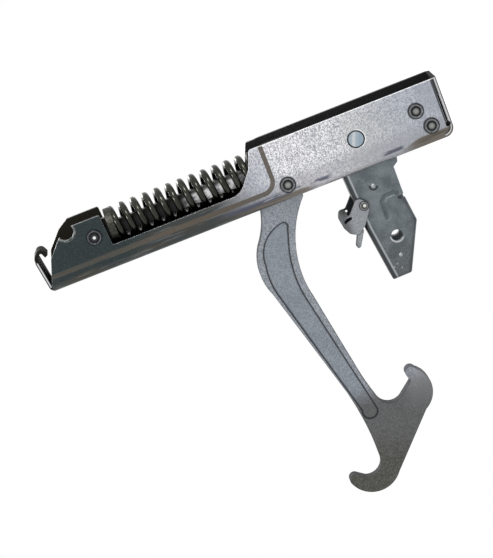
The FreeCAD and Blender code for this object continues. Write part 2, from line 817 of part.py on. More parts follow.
def latch():
    """Small U lever straddling the bracket, its back curled into a cup with a finger."""
    body = slab(latch_outline(), -latch_outer_half, latch_outer_half)
    inside = slab(rounded_wire(drawn_from(latch_x, latch_z, latch_reach, [
        (-64.0, -34.0),
        (-64.0, 46.0),
        (17.5, 46.0, 3),
        (25.5, 61.0, 8),
        (46.5, 54.0, 9),
        (58.0, 37.5, 5),
        (57.0, 27.0),
        (110.0, 27.0),
        (110.0, -34.0),
    ])), -latch_inner_half, latch_inner_half)
    body = body.cut(inside).cut(curl_gap())
    finger_side = latch_inner_half + face_gap
    finger = slab(rounded_wire(drawn_from(latch_x, latch_z, latch_reach, [
        (52.0, 25.0, 3),
        (60.0, 21.0, 4),
        (97.0, 42.5, 4),
        (100.0, 50.0, 4),
        (92.5, 53.5, 4),
        (64.0, 40.0),
    ])), -finger_side, -finger_side + latch_finger_width)
    body = body.fuse(finger)
    hole = latch_pin_radius + running_fit
    body = body.cut(cross_pin(latch_x, latch_z, hole, -latch_outer_half, latch_outer_half))
    return body.removeSplitter()


def latch_pin():
    face = latch_outer_half + face_gap
    pin = cross_pin(latch_x, latch_z, latch_pin_radius, -face, face)
    head = cross_pin(latch_x, latch_z, latch_pin_head_radius, face, face + latch_pin_head_height)
    rim = [edge for edge in head.Edges if edge.BoundBox.YMin > face + latch_pin_head_height - 1e-6]
    head = head.makeChamfer(latch_pin_head_chamfer, rim)
    return pin.fuse(head).fuse(mirrored(head)).removeSplitter()


def closed_stop_pin():
    """Stout pin whose ends lie flush in the two walls."""
    pin = cross_pin(closed_stop_x, closed_stop_z, closed_stop_pin_radius, -half_width, half_width)
    ends = [edge for edge in pin.Edges if edge.BoundBox.YLength < 1e-6]
    return pin.makeChamfer(closed_stop_pin_chamfer, ends)


def spacer_pair(x, z, outer, inner, y_low, y_high):
    near = tube(x, z, outer, inner, -y_high, -y_low)
    return near, mirrored(near)


def save(name, shape):
    solid = shape.Solids[0] if len(shape.Solids) == 1 else shape
    solid.translate(FreeCAD.Vector(-channel_depth / 2, 0, 0))
    solid.exportStep("parts/" + name + ".step")


def build():
    os.makedirs("parts", exist_ok=True)
    save("channel", channel())
    save("claw_arm", claw_arm())
    save("crank_pin", crank_pin())
    save("push_yoke", push_yoke())
    save("lower_spring_seat", spring_seat(lower_seat_z, lower_seat_height, 1))
    save("upper_spring_seat", spring_seat(upper_seat_z, upper_seat_height, -1))
    save("coil_spring", coil_spring())
    save("guide_rod", guide_rod())
    save("bracket", bracket())
    save("latch", latch())
    save("latch_pin", latch_pin())
    save("closed_stop_pin", closed_stop_pin())
    save("arm_pivot_rivet", rivet(arm_pivot_x, arm_pivot_z, rivet_radius, half_width))
    save("anchor_rivet", rivet(anchor_x, anchor_z, rivet_radius, block_half))
    save("bracket_pivot_rivet", rivet(bracket_pivot_x, bracket_pivot_z, bracket_pivot_radius, half_width))
    save("open_stop_rivet", rivet(open_stop_x, open_stop_z, rivet_radius, half_width))
    near, far = spacer_pair(arm_pivot_x, arm_pivot_z, arm_spacer_radius, rivet_radius + rivet_fit,
                            arm_half + face_gap, inner_half)
    save("arm_spacer_near", near)
    save("arm_spacer_far", far)
    near, far = spacer_pair(anchor_x, anchor_z, anchor_spacer_radius, rivet_radius + rivet_fit,
                            rod_thickness / 2, block_inner_half)
    save("rod_spacer_near", near)
    save("rod_spacer_far", far)
    near, far = spacer_pair(bracket_pivot_x, bracket_pivot_z, bush_radius,
                            bracket_pivot_radius + rivet_fit, bracket_half + face_gap, inner_half)
    save("bracket_bush_near", near)
    save("bracket_bush_far", far)
    save("open_stop_sleeve", tube(open_stop_x, open_stop_z, open_stop_sleeve_radius,
                                  rivet_radius + rivet_fit, -inner_half, inner_half))
    save("closed_stop_sleeve", tube(closed_stop_x, closed_stop_z, closed_stop_sleeve_radius,
                                    closed_stop_pin_radius + rivet_fit, -inner_half, inner_half))


build()
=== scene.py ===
import math
import bmesh
import bpy
from mathutils import Matrix, Vector


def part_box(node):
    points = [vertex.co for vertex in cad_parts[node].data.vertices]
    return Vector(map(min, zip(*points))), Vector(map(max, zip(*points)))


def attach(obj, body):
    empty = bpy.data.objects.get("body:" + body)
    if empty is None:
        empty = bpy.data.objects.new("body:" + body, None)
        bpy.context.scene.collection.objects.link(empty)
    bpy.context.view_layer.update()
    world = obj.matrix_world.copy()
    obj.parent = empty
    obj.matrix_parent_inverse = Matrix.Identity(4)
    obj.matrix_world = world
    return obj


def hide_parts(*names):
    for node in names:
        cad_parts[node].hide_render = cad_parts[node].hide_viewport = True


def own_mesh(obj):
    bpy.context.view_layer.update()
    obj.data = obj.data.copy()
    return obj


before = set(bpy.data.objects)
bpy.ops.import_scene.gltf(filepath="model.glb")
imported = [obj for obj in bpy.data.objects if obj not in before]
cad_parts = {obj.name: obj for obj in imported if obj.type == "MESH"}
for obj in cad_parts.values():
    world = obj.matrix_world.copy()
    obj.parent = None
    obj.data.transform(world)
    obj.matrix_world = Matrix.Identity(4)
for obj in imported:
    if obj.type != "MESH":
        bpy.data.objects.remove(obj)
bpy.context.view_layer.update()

# Channel: one sheet of zinc-plated steel, folded to a deep U with a foot plate and a hooked top tab.
# The walls are pressed in beside the spring. The folds and the top block are darker than the bright plate, and
# painted shade lies along the pressed step. The sheared edges have painted highlights, and the inside is painted
# black as shade.


class Shade:
    """A value on the surface: a socket of a node tree that Python's arithmetic works on."""

    def __init__(self, tree, socket):
        self.tree = tree
        self.socket = socket

    def add(self, kind, settings, sockets, output=0):
        """A new node: its type, its settings, then the values or links of its sockets."""
        made = self.tree.nodes.new(kind)
        for name, value in settings.items():
            setattr(made, name, value)
        for name, value in sockets.items():
            if isinstance(value, Shade):
                self.tree.links.new(value.socket, made.inputs[name])
            else:
                made.inputs[name].default_value = value
        return Shade(self.tree, made.outputs[output])

    def maths(self, operation, first, second):
        return self.add("ShaderNodeMath", {"operation": operation}, {0: first, 1: second})

    def __add__(self, other):
        return self.maths("ADD", self, other)

    def __radd__(self, other):
        return self.maths("ADD", other, self)

    def __sub__(self, other):
        return self.maths("SUBTRACT", self, other)

    def __rsub__(self, other):
        return self.maths("SUBTRACT", other, self)

    def __mul__(self, other):
        return self.maths("MULTIPLY", self, other)

    def __rmul__(self, other):
        return self.maths("MULTIPLY", other, self)

    def __abs__(self):
        return self.maths("ABSOLUTE", self, 0.0)

    def or_more(self, other):
        """The larger of the two."""
        return self.maths("MAXIMUM", self, other)

    def or_less(self, other):
        """The smaller of the two."""
        return self.maths("MINIMUM", self, other)

    def rise(self, low, high):
        """0 below low, 1 above high, smooth between."""
        return self.add("ShaderNodeMapRange", {"interpolation_type": "SMOOTHSTEP"},
                        {"Value": self, "From Min": low, "From Max": high})

    def band(self, low, full, waning, high):
        """0 outside low and high, 1 between full and waning."""
        return self.rise(low, full) * (1.0 - self.rise(waning, high))

    def tint(self, colour, other):
        """The first colour where this is 0, the other where it is 1."""
        ends = {0: self}
        for number, end in ((6, colour), (7, other)):
            ends[number] = end if isinstance(end, Shade) else (*end, 1.0)
        return self.add("ShaderNodeMix", {"data_type": "RGBA"}, ends, output=2)

    def turned(self, scale):
        """This place stretched by a factor on each axis, for grain with a direction."""
        return self.add("ShaderNodeMapping", {"vector_type": "POINT"}, {"Vector": self, "Scale": scale})

    def cloud(self, size_mm, detail):
        """Soft noise of a size in millimetres, from 0 to 1, read at this place."""
        return self.add("ShaderNodeTexNoise", {"noise_dimensions": "3D"},
                        {"Vector": self, "Scale": 1000.0 / size_mm, "Detail": detail, "Roughness": 0.55})

    def spangle(self, size_mm):
        """Crystal cells of a size in millimetres, each with its own value."""
        cells = self.add("ShaderNodeTexVoronoi", {"voronoi_dimensions": "3D", "feature": "F1"},
                         {"Vector": self, "Scale": 1000.0 / size_mm, "Randomness": 1.0}, output=1)
        return cells.add("ShaderNodeSeparateColor", {}, {"Color": cells})

    def millimetres(self):
        """This place's three numbers, in millimetres."""
        parts = self.add("ShaderNodeSeparateXYZ", {}, {"Vector": self})
        node = parts.socket.node
        return [Shade(self.tree, node.outputs[axis]) * 1000.0 for axis in range(3)]

    def from_axis(self, axis_x, axis_z):
        """Distance in millimetres of this place from an axis along Y."""
        x, y, z = self.millimetres()
        squared = (x - axis_x) * (x - axis_x) + (z - axis_z) * (z - axis_z)
        return squared.maths("SQRT", squared, 0.0)

    def along_rivets(self):
        """How far the face looks along Y, from -1 to 1."""
        normal = Shade(self.tree, self.socket.node.outputs["Normal"])
        return normal.add("ShaderNodeSeparateXYZ", {}, {"Vector": normal}, output=1)

    def flat_on(self):
        """1 on faces that look along Y, 0 on cut and folded edges."""
        return abs(self.along_rivets()).rise(0.5, 0.9)

    def edges(self, radius_mm):
        """1 along sharp edges, 0 on open faces."""
        rounded = self.add("ShaderNodeBevel", {"samples": 6}, {"Radius": radius_mm / 1000.0})
        flat = self.add("ShaderNodeNewGeometry", {}, {}, output=1)
        same = self.add("ShaderNodeVectorMath", {"operation": "DOT_PRODUCT"}, {0: rounded, 1: flat}, output=1)
        return (1.0 - same).rise(0.01, 0.2)

    def hollows(self, reach_mm):
        """1 deep in corners and gaps, 0 in the open."""
        open_sky = self.add("ShaderNodeAmbientOcclusion", {"samples": 8}, {"Distance": reach_mm / 1000.0}, output=1)
        return 1.0 - open_sky

    def relief(self, depth_mm, rounding_mm=0.0):
        """A bump of this height, over edges that look rounded."""
        sockets = {"Height": self, "Distance": depth_mm / 1000.0, "Strength": 1.0}
        if rounding_mm > 0:
            sockets["Normal"] = self.add("ShaderNodeBevel", {"samples": 6}, {"Radius": rounding_mm / 1000.0})
        return self.add("ShaderNodeBump", {}, sockets)


def new_finish(name):
    """A new material: itself, its surface shader and the place on the piece."""
    material = bpy.data.materials.new(name)
    material.use_nodes = True
    tree = material.node_tree
    place = Shade(tree, tree.nodes.new("ShaderNodeTexCoord").outputs["Object"])
    return material, tree.nodes["Principled BSDF"], place


def lay_on(surface, **values):
    """Sets or links the sockets of a surface shader."""
    for name, value in values.items():
        socket = surface.inputs[name.replace("_", " ").title()]
        if isinstance(value, Shade):
            value.tree.links.new(value.socket, socket)
        elif isinstance(value, tuple):
            socket.default_value = (*value, 1.0)
        else:
            socket.default_value = value


def finish_nodes(material, *names):
    """Puts a finish on solids of the frame."""
    for name in names:
        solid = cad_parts[name]
        if not solid.material_slots:
            solid.data.materials.append(material)
        for material_slot in solid.material_slots:
            material_slot.material = material


def axis_of(name):
    """Where a pin or a coil stands: its x and z in millimetres."""
    low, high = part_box(name)
    return (low[0] + high[0]) * 500.0, (low[2] + high[2]) * 500.0


def line_at(x, start_x, start_z, slope):
    """The z, at x, of a straight line seen from the side."""
    return (x - start_x) * slope + start_z


channel_low, channel_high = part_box("channel")
web_x = channel_low[0] * 1000.0
mouth_x = channel_high[0] * 1000.0
outer_y = channel_high[1] * 1000.0
top_z = channel_high[2] * 1000.0
sheet_mm = 1.8
press_mm = 0.8
press_x = web_x + 8.6
step_foot_x = press_x - 3.0
press_foot_z = 95.6
shoulder_z = 104.0
block_z = 150.0
tab_half_width = 9.9
tab_lean = 0.1405
tab_root_z = top_z - 7.6
tab_line_z = top_z - 2.37
tab_hook_x = web_x + 14.0
notch_axis = (web_x + 26.4, top_z - 20.07)
notch_mm = 4.6
corner_axis = (web_x + 6.0, 5.4)
corner_shade_mm = (3.0, 3.3, 3.7, 4.0)
corner_glint_mm = (3.9, 4.1, 4.5, 4.8)
rivet_head_mm = 4.0
pin_glint_mm = 4.9
fold_mm = 1.6
cold_foot_z = (12.0, 74.0)
low_back_x = (web_x + 7.0, web_x + 15.0)
foot_brown_z = (16.0, 32.0)
middle_brown_z = (72.0, 84.0)
scuffed_middle_z = (64.0, 70.0, 112.0, 130.0)
scuffed_foot_z = (26.0, 29.0, 36.0, 40.0)
scuff_line_x = (web_x + 2.6, web_x + 3.4, web_x + 4.4, web_x + 5.2)
far_glint_share = 0.08
bright_plate = (0.34, 0.35, 0.39)
pale_plate = (0.98, 0.97, 0.98)
cold_plate = (0.30, 0.34, 0.41)
rose_plate = (0.66, 0.60, 0.63)
straw_plate = (0.60, 0.60, 0.52)
low_plate = (0.36, 0.36, 0.40)
step_shade = (0.095, 0.082, 0.066)
scuff_blue = (0.075, 0.08, 0.12)
strip_grey = (0.060, 0.066, 0.066)
strip_pale = (0.17, 0.19, 0.21)
strip_brown = (0.080, 0.070, 0.054)
fold_brown = (0.20, 0.18, 0.155)
fold_shade = (0.11, 0.10, 0.085)
block_grey = (0.034, 0.045, 0.047)
block_worn = (0.075, 0.092, 0.098)
shade_black = (0.010, 0.009, 0.008)
shade_olive = (0.026, 0.023, 0.017)
tab_olive = (0.018, 0.018, 0.015)
tab_glint = (0.62, 0.64, 0.65)
notch_glint = (0.30, 0.31, 0.29)
slit_shade = (0.05, 0.052, 0.056)
corner_glint = (0.85, 0.86, 0.88)
pin_glint = (0.90, 0.91, 0.93)
cut_glint = (0.80, 0.80, 0.82)
dim_cut_glint = (0.30, 0.32, 0.33)
hollow_shade = (0.03, 0.03, 0.032)

channel_zinc, zinc_face, spot = new_finish("channel_zinc")
x, y, z = spot.millimetres()
side = abs(y)
near_side = 1.0 - y.rise(-1.0, 1.0)

# The bright plate: fine crystal grain under broad, faint tints, colder at the foot and where it is pressed in.
grain = spot.spangle(0.5) * 0.5 + spot.cloud(0.55, 5.0) * 0.6
bloom = spot.cloud(20.0, 3.0)
drift = spot.turned((0.6, 1.0, 1.0)).cloud(34.0, 2.0)
pressed_in = z.rise(press_foot_z - 1.0, press_foot_z)
plate = grain.rise(0.30, 0.76).tint(bright_plate, pale_plate)
plate = (drift.rise(0.5, 0.72) * 0.35).tint(plate, rose_plate)
plate = ((1.0 - drift.rise(0.3, 0.48)) * 0.35).tint(plate, straw_plate)
plate = (bloom.rise(0.48, 0.75) * 0.40).tint(plate, cold_plate)
plate = ((1.0 - z.rise(*cold_foot_z)) * 0.62).tint(plate, cold_plate)
plate = ((1.0 - x.rise(*low_back_x)) * 0.55).tint(plate, low_plate)
plate = (pressed_in * 0.30).tint(plate, cold_plate)

# The dark strip beside the spring, with rolling streaks along the sheet, and the darker block at the top end.
along_sheet = spot.turned((1.0, 1.0, 0.05))
streaks = along_sheet.cloud(1.2, 4.0)
threads = along_sheet.cloud(0.6, 2.0)
strip = streaks.rise(0.47, 0.68).tint(strip_grey, strip_brown)
strip = (threads.rise(0.54, 0.68) * 0.6).tint(strip, strip_pale)
low_on_block = 1.0 - x.rise(press_x - 2.0, press_x + 2.0)
block = (grain.rise(0.45, 0.95) * 0.45).tint(block_grey, block_worn)
block = (bloom.rise(0.5, 0.7) * 0.3).tint(block, block_worn)
block = (streaks.rise(0.48, 0.66) * low_on_block * 0.6).tint(block, strip_brown)
below_step = 1.0 - x.rise(step_foot_x, step_foot_x + 0.8)
past_shoulder = z.rise(shoulder_z - 8.0, shoulder_z + 26.0)
skin = (below_step * z.rise(70.0, press_foot_z + 0.4) * 0.35).tint(plate, strip)
skin = past_shoulder.tint(skin, strip)
skin = z.rise(block_z, block_z + 26.0).tint(skin, block)

# The fold along the back, browned most at the foot and past the arm, and painted shade along the pressed step.
foot_brown = 1.0 - z.rise(*foot_brown_z)
middle_brown = z.rise(*middle_brown_z)
fold_reach = web_x + fold_mm + foot_brown * 3.2 + middle_brown * 1.2
fold = 1.0 - x.rise(fold_reach, fold_reach + 1.1)
fold_skin = streaks.rise(0.35, 0.7).tint(fold_brown, fold_shade)
fold_skin = past_shoulder.tint(fold_skin, strip)
fold_share = 0.25 + foot_brown * 0.65 + middle_brown * 0.65
skin = (fold * fold_share.rise(0.0, 0.9)).tint(skin, fold_skin)
on_step = side.band(outer_y - press_mm + 0.01, outer_y - press_mm + 0.07, outer_y - 0.07, outer_y - 0.01)
on_step = on_step * x.rise(step_foot_x - 0.6, step_foot_x)
skin = (on_step * (0.95 - z.rise(block_z, block_z + 40.0) * 0.5)).tint(skin, step_shade)

# Blue scuffs from handling, low on the plate in two places.
scuffed_lengths = z.band(*scuffed_middle_z) + z.band(*scuffed_foot_z)
scuffs = spot.turned((1.0, 1.0, 0.16)).cloud(2.0, 3.0).rise(0.36, 0.46) * x.band(*scuff_line_x)
skin = (scuffs * scuffed_lengths.rise(0.0, 1.0) * 0.85).tint(skin, scuff_blue)

# The inside, painted black as shade: every face between the walls and every face that looks in.
pressed_inner_y = outer_y - press_mm - sheet_mm
wide_inner_y = outer_y - sheet_mm
within = 1.0 - side.rise(pressed_inner_y + 0.02, pressed_inner_y + 0.10)
wide_within = (1.0 - side.rise(wide_inner_y + 0.02, wide_inner_y + 0.10)) * (1.0 - pressed_in)
inward = 1.0 - (y * spot.along_rivets()).rise(-3.0, -1.0)
inside = within.or_more(wide_within).or_more(inward) * x.rise(web_x + 1.0, web_x + 1.7)
outside = 1.0 - inside
inner_shade = z.rise(block_z, block_z + 30.0).tint(shade_black, shade_olive)
skin = (inside * 0.96).tint(skin, inner_shade)

# The leaning top tab: faces painted black as shade, a painted highlight along its cut edge, and an olive hook.
tab = z.rise(tab_root_z, tab_root_z + 0.6) * x.rise(web_x + 2.0, web_x + 2.4)
tab = tab * (1.0 - side.rise(tab_half_width + 0.2, tab_half_width + 0.4))
tab_skin = x.rise(tab_hook_x, tab_hook_x + 4.0).tint(shade_black, tab_olive)
below_lean = line_at(x, web_x, tab_line_z, tab_lean) - z
tab_edge_glint = side.rise(tab_half_width - 0.08, tab_half_width - 0.02) * below_lean.band(0.4, 0.6, 1.15, 1.4)
tab_edge_glint = tab_edge_glint * (1.0 - x.rise(tab_hook_x + 1.0, tab_hook_x + 4.0) * 0.7)
skin = (tab * 0.97).tint(skin, (tab_edge_glint * 0.95).tint(tab_skin, tab_glint))

# Painted shade along the foot plate's edge beside the slit, and a painted highlight with painted shade beyond it
# where the sheet turns at its corner.
foot_edge = (1.0 - z.rise(3.4, 3.8)) * x.rise(web_x + 5.0, web_x + 7.0) * outside
skin = (foot_edge * 0.9).tint(skin, slit_shade)
skin = (z.band(0.6, 0.8, 1.4, 1.7) * foot_edge * 0.9).tint(skin, corner_glint)
foot_corner = (1.0 - z.rise(5.0, 6.0)) * (1.0 - x.rise(web_x + 5.5, web_x + 6.5)) * spot.flat_on() * outside
from_corner = spot.from_axis(*corner_axis)
skin = (from_corner.band(*corner_shade_mm) * foot_corner * 0.85).tint(skin, slit_shade)
skin = (from_corner.band(*corner_glint_mm) * foot_corner * 0.9).tint(skin, corner_glint)

# Painted shade round the rivet heads, a painted highlight beside the flush pin, and painted highlights round the
# screw notch.
for rivet_name in ("arm_pivot_rivet", "bracket_pivot_rivet", "open_stop_rivet"):
    from_rivet = spot.from_axis(*axis_of(rivet_name))
    skin = ((1.0 - from_rivet.rise(rivet_head_mm, rivet_head_mm + 0.5)) * 0.6).tint(skin, slit_shade)
pin_x, pin_z = axis_of("closed_stop_pin")
pin_glint_area = 1.0 - spot.from_axis(pin_x, pin_z).rise(pin_glint_mm, pin_glint_mm + 0.3)
below_pin = 1.0 - z.rise(pin_z - 2.2, pin_z - 0.2)
skin = (pin_glint_area * below_pin * spot.flat_on() * outside * 0.9).tint(skin, pin_glint)
from_notch = spot.from_axis(*notch_axis)
notch_glint_patch = (1.0 - from_notch.rise(notch_mm, notch_mm + 1.0)) * spot.cloud(2.0, 2.0).rise(0.35, 0.55) * outside
skin = (notch_glint_patch * 0.8).tint(skin, notch_glint)

# Sheared edges: a painted highlight on the near wall, painted black shade on the far one. Edges get painted
# highlights, brighter on the near side, and hollows get painted shade.
cut = x.rise(mouth_x - 0.08, mouth_x - 0.02) * side.rise(wide_inner_y, wide_inner_y + 0.2)
far_cut = cut * (1.0 - near_side)
skin = (cut * near_side * 0.9).tint(skin, cut_glint)
skin = (far_cut * 0.9).tint(skin, shade_black)
edge_glint = spot.edges(0.4) * outside * (1.0 - far_cut) * (far_glint_share + near_side * (1.0 - far_glint_share))
skin = (edge_glint * 0.85).tint(skin, past_shoulder.tint(cut_glint, dim_cut_glint))
skin = (spot.hollows(2.5).rise(0.1, 0.8) * 0.85 * outside).tint(skin, hollow_shade)
lay_on(zinc_face, base_color=skin, metallic=1.0,
       roughness=0.28 + spot.cloud(1.2, 3.0) * 0.22 + inside * 0.3,
       normal=grain.relief(0.02, 0.3))
finish_nodes(channel_zinc, "channel")

# Rivets: four formed steel pins that close the two walls on their spacers and bushes, and the crank pin in the
# arm. Each head has a pressed ring and a plain centre, with painted shade in the ring and round the rim. The anchor
# rivet's centre has a painted highlight.
rivet_grey = (0.34, 0.345, 0.36)
rivet_shade = (0.12, 0.125, 0.135)
rivet_ring_shade = (0.022, 0.022, 0.024)
plain_centre = (0.30, 0.31, 0.30)
plain_slope = (0.10, 0.10, 0.095)
anchor_glint = (0.90, 0.90, 0.88)
anchor_slope = (0.05, 0.055, 0.055)
plain_rings = {"centre": (0.6, 1.9), "ring_shade": (1.6, 1.9), "ring": (2.5, 2.8), "ring_share": 1.0}
anchor_rings = {"centre": (0.5, 1.0), "ring_shade": (1.5, 1.9), "ring": (2.7, 3.0), "ring_share": 0.55}
rim_shade_mm = (3.3, 3.6)
plain_rivets = ("arm_pivot_rivet", "bracket_pivot_rivet", "open_stop_rivet", "crank_pin")
for name, rivets, centre, slope, rings in (
        ("rivet_steel", plain_rivets, plain_centre, plain_slope, plain_rings),
        ("anchor_steel", ("anchor_rivet",), anchor_glint, anchor_slope, anchor_rings)):
    rivet_steel, rivet_face, spot = new_finish(name)
    from_centre = spot.from_axis(*axis_of(rivets[0]))
    for rivet in rivets[1:]:
        from_centre = from_centre.or_less(spot.from_axis(*axis_of(rivet)))
    grain = spot.cloud(0.7, 4.0)
    ring_skin = grain.rise(0.3, 0.75).tint(rivet_shade, rivet_grey)
    skin = from_centre.rise(*rings["centre"]).tint(centre, slope)
    skin = from_centre.rise(*rings["ring_shade"]).tint(skin, rivet_ring_shade)
    skin = (from_centre.rise(*rings["ring"]) * rings["ring_share"]).tint(skin, ring_skin)
    skin = (from_centre.rise(*rim_shade_mm) * 0.92).tint(skin, rivet_ring_shade)
    lay_on(rivet_face, base_color=skin, metallic=1.0, roughness=0.28 + grain * 0.2, normal=grain.relief(0.015, 0.35))
    finish_nodes(rivet_steel, *rivets)

# Stop pin: a turned pin with bright blue-white plating, its end filed flush with the wall. A painted sheen lightens
# one side of the end, with a paler painted highlight band across it, and painted shade stands in the gap round it.
pin_blue = (0.33, 0.42, 0.50)
pin_sheen = (0.40, 0.47, 0.53)
pin_glint_band = (0.62, 0.66, 0.69)
pin_cloud = (0.30, 0.36, 0.42)
pin_gap_shade = (0.022, 0.024, 0.028)
pin_gap_mm = (3.7, 3.9)
sheen_from_mm = (-1.6, -1.0)
glint_band_mm = (0.1, 0.5, 1.6, 2.2)
bright_pin, pin_face, spot = new_finish("bright_pin")
x, y, z = spot.millimetres()
grain = spot.cloud(0.8, 3.0)
across = (z - pin_z) * 0.9 + (x - pin_x) * 0.35
skin = across.rise(*sheen_from_mm).tint(pin_blue, pin_sheen)
skin = across.band(*glint_band_mm).tint(skin, pin_glint_band)
skin = (grain.rise(0.35, 0.7) * 0.25).tint(skin, pin_cloud)
skin = (spot.from_axis(pin_x, pin_z).rise(*pin_gap_mm) * 0.92).tint(skin, pin_gap_shade)
lay_on(pin_face, base_color=skin, metallic=1.0, roughness=0.24 + grain * 0.12, normal=grain.relief(0.01, 0.25))
finish_nodes(bright_pin, "closed_stop_pin")

# Spring works: a fork on the arm's crank pin pushes a slotted seat, and the spring stands between that seat
# and the fixed one. Spacers, bushes and sleeves keep it all in line. Plain steel, dark with oil.
works_dark = (0.030, 0.030, 0.026)
works_grey = (0.085, 0.084, 0.074)
works_wear_and_glint = (0.30, 0.30, 0.28)
works_hollow_shade = (0.010, 0.010, 0.009)
dark_steel, dark_face, spot = new_finish("dark_steel")
grain = spot.cloud(0.9, 4.0)
skin = grain.rise(0.3, 0.75).tint(works_dark, works_grey)
# Edges lighter with wear and painted highlights, and painted shade in the hollows.
skin = (spot.edges(0.3) * 0.5).tint(skin, works_wear_and_glint)
skin = (spot.hollows(3.0) * 0.7).tint(skin, works_hollow_shade)
lay_on(dark_face, base_color=skin, metallic=1.0, roughness=0.34 + grain * 0.2, normal=grain.relief(0.02, 0.25))
finish_nodes(dark_steel, "arm_spacer_near", "arm_spacer_far", "rod_spacer_near", "rod_spacer_far",
             "bracket_bush_near", "bracket_bush_far", "open_stop_sleeve", "closed_stop_sleeve",
             "push_yoke", "lower_spring_seat", "upper_spring_seat")

# Guide bar: a flat plated steel bar that hangs from the anchor rivet and keeps the spring straight. It is
# bright in patches low down and darker above and along its open side, with painted shade in its hollows.
bar_grey = (0.34, 0.34, 0.36)
bar_bright = (0.95, 0.95, 0.95)
bar_dark_top = (0.030, 0.031, 0.030)
bar_dark_side = (0.020, 0.020, 0.018)
bar_gap_shade = (0.02, 0.02, 0.02)
bar_dark_z = (134.0, 142.0)
bar_middle_x = axis_of("coil_spring")[0]
bar_zinc, bar_face, spot = new_finish("bar_zinc")
x, y, z = spot.millimetres()
grain = spot.cloud(0.9, 4.0)
patches = spot.turned((1.0, 1.0, 0.6)).cloud(2.4, 3.0)
skin = patches.rise(0.34, 0.58).tint(bar_grey, bar_bright)
skin = z.rise(*bar_dark_z).tint(skin, bar_dark_top)
skin = (x.rise(bar_middle_x - 0.6, bar_middle_x + 1.2) * 0.9).tint(skin, bar_dark_side)
skin = (spot.hollows(4.0).rise(0.4, 0.95) * 0.6).tint(skin, bar_gap_shade)
lay_on(bar_face, base_color=skin, metallic=1.0, roughness=0.25 + grain * 0.2, normal=grain.relief(0.02, 0.25))
finish_nodes(bar_zinc, "guide_rod")

# Spring: one length of dark oiled wire, coiled with open turns and ground flat at both ends. It stands in the
# place of the CAD coil.
wire_dark = (0.020, 0.020, 0.015)
wire_olive = (0.050, 0.049, 0.040)
wire_haze = (0.075, 0.078, 0.070)
wire_gap_shade = (0.006, 0.006, 0.005)
spring_low, spring_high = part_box("coil_spring")
spring_centre = ((spring_low[0] + spring_high[0]) / 2, 0.0)
wire_radius = 0.00175
coil_radius = 0.00825
coil_pitch = 0.0063
steps_a_turn = 56
wire_sides = 24
wire = bmesh.new()
turns = math.ceil((spring_high[2] - spring_low[2] + 2 * wire_radius) / coil_pitch)
bmesh.ops.create_circle(wire, cap_ends=True, segments=wire_sides, radius=wire_radius)
bmesh.ops.rotate(wire, verts=wire.verts, cent=(0, 0, 0),
                 matrix=Matrix.Rotation(math.radians(90), 3, "X"))
bmesh.ops.translate(wire, verts=wire.verts, vec=(spring_centre[0] + coil_radius, 0, spring_low[2] - wire_radius))
bmesh.ops.spin(wire, geom=wire.verts[:] + wire.edges[:] + wire.faces[:], cent=(*spring_centre, 0), axis=(0, 0, 1),
               dvec=(0, 0, coil_pitch / steps_a_turn), angle=math.radians(360) * turns,
               steps=steps_a_turn * turns, use_merge=False)
bmesh.ops.remove_doubles(wire, verts=wire.verts, dist=1e-7)
for height, away in ((spring_low[2], -1), (spring_high[2], 1)):
    bmesh.ops.bisect_plane(wire, geom=wire.verts[:] + wire.edges[:] + wire.faces[:],
                           plane_co=(0, 0, height), plane_no=(0, 0, away), clear_outer=True)
    open_edges = [edge for edge in wire.edges if edge.is_boundary]
    bmesh.ops.contextual_create(wire, geom=open_edges)
bmesh.ops.recalc_face_normals(wire, faces=wire.faces)
for face in wire.faces:
    face.smooth = len(face.verts) <= 4
spring_mesh = bpy.data.meshes.new("spring_coil")
wire.to_mesh(spring_mesh)
spring = bpy.data.objects.new("spring_coil", spring_mesh)
bpy.context.scene.collection.objects.link(spring)

spring_steel, spring_face, spot = new_finish("spring_steel")
grain = spot.cloud(0.7, 4.0)
haze = spot.cloud(9.0, 2.0)
skin = grain.rise(0.3, 0.8).tint(wire_dark, wire_olive)
skin = (haze.rise(0.5, 0.75) * 0.4).tint(skin, wire_haze)
# Painted shade between the turns.
skin = (spot.hollows(4.0).rise(0.25, 0.9) * 0.9).tint(skin, wire_gap_shade)
lay_on(spring_face, base_color=skin, metallic=1.0, roughness=0.16 + grain * 0.14, coat_weight=0.3,
       normal=grain.relief(0.02))
spring_mesh.materials.append(spring_steel)
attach(spring, "channel")
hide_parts("coil_spring")
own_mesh(spring)

# Claw arm: one forged steel plate that swings on the pivot rivet, satin plated, with a shallow pocket
# along its beam on each face. Painted shade darkens the pocket's rim and other hollows, the edges and the side
# faces, and the claw end is plainer and darker.
beam_dark = (0.21, 0.225, 0.255)
beam_pale = (0.42, 0.45, 0.49)
pocket_blue = (0.21, 0.25, 0.29)
beam_haze = (0.20, 0.215, 0.24)
rim_dark = (0.15, 0.16, 0.18)
rim_pale = (0.62, 0.66, 0.70)
claw_dark = (0.11, 0.114, 0.116)
claw_pale = (0.165, 0.168, 0.168)
tip_dark = (0.075, 0.075, 0.066)
tip_pale = (0.155, 0.155, 0.140)
fleck_grey = (0.26, 0.27, 0.27)
hook_pale = (0.25, 0.255, 0.26)
arm_hollow_shade = (0.018, 0.02, 0.024)
arm_edge_shade = (0.045, 0.048, 0.052)
arm_side_shade = (0.05, 0.052, 0.054)
arm_low, arm_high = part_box("claw_arm")
arm_face_y = arm_high[1] * 1000.0
pocket_y = arm_face_y - 0.5
arm_tip_x = arm_low[0] * 1000.0
claw_end_x = arm_tip_x + 44.0
hook_line_z = 0.366
hook_line_x = 0.93
lower_hook_mm = (166.0, 190.0)
upper_hook_mm = (140.0, 164.0)
past_throat_mm = (-19.0, -11.0)


def along_hooks(x, z):
    """How far a place lies from the upper hook's side to the lower hook's, in millimetres."""
    return z * hook_line_z - x * hook_line_x


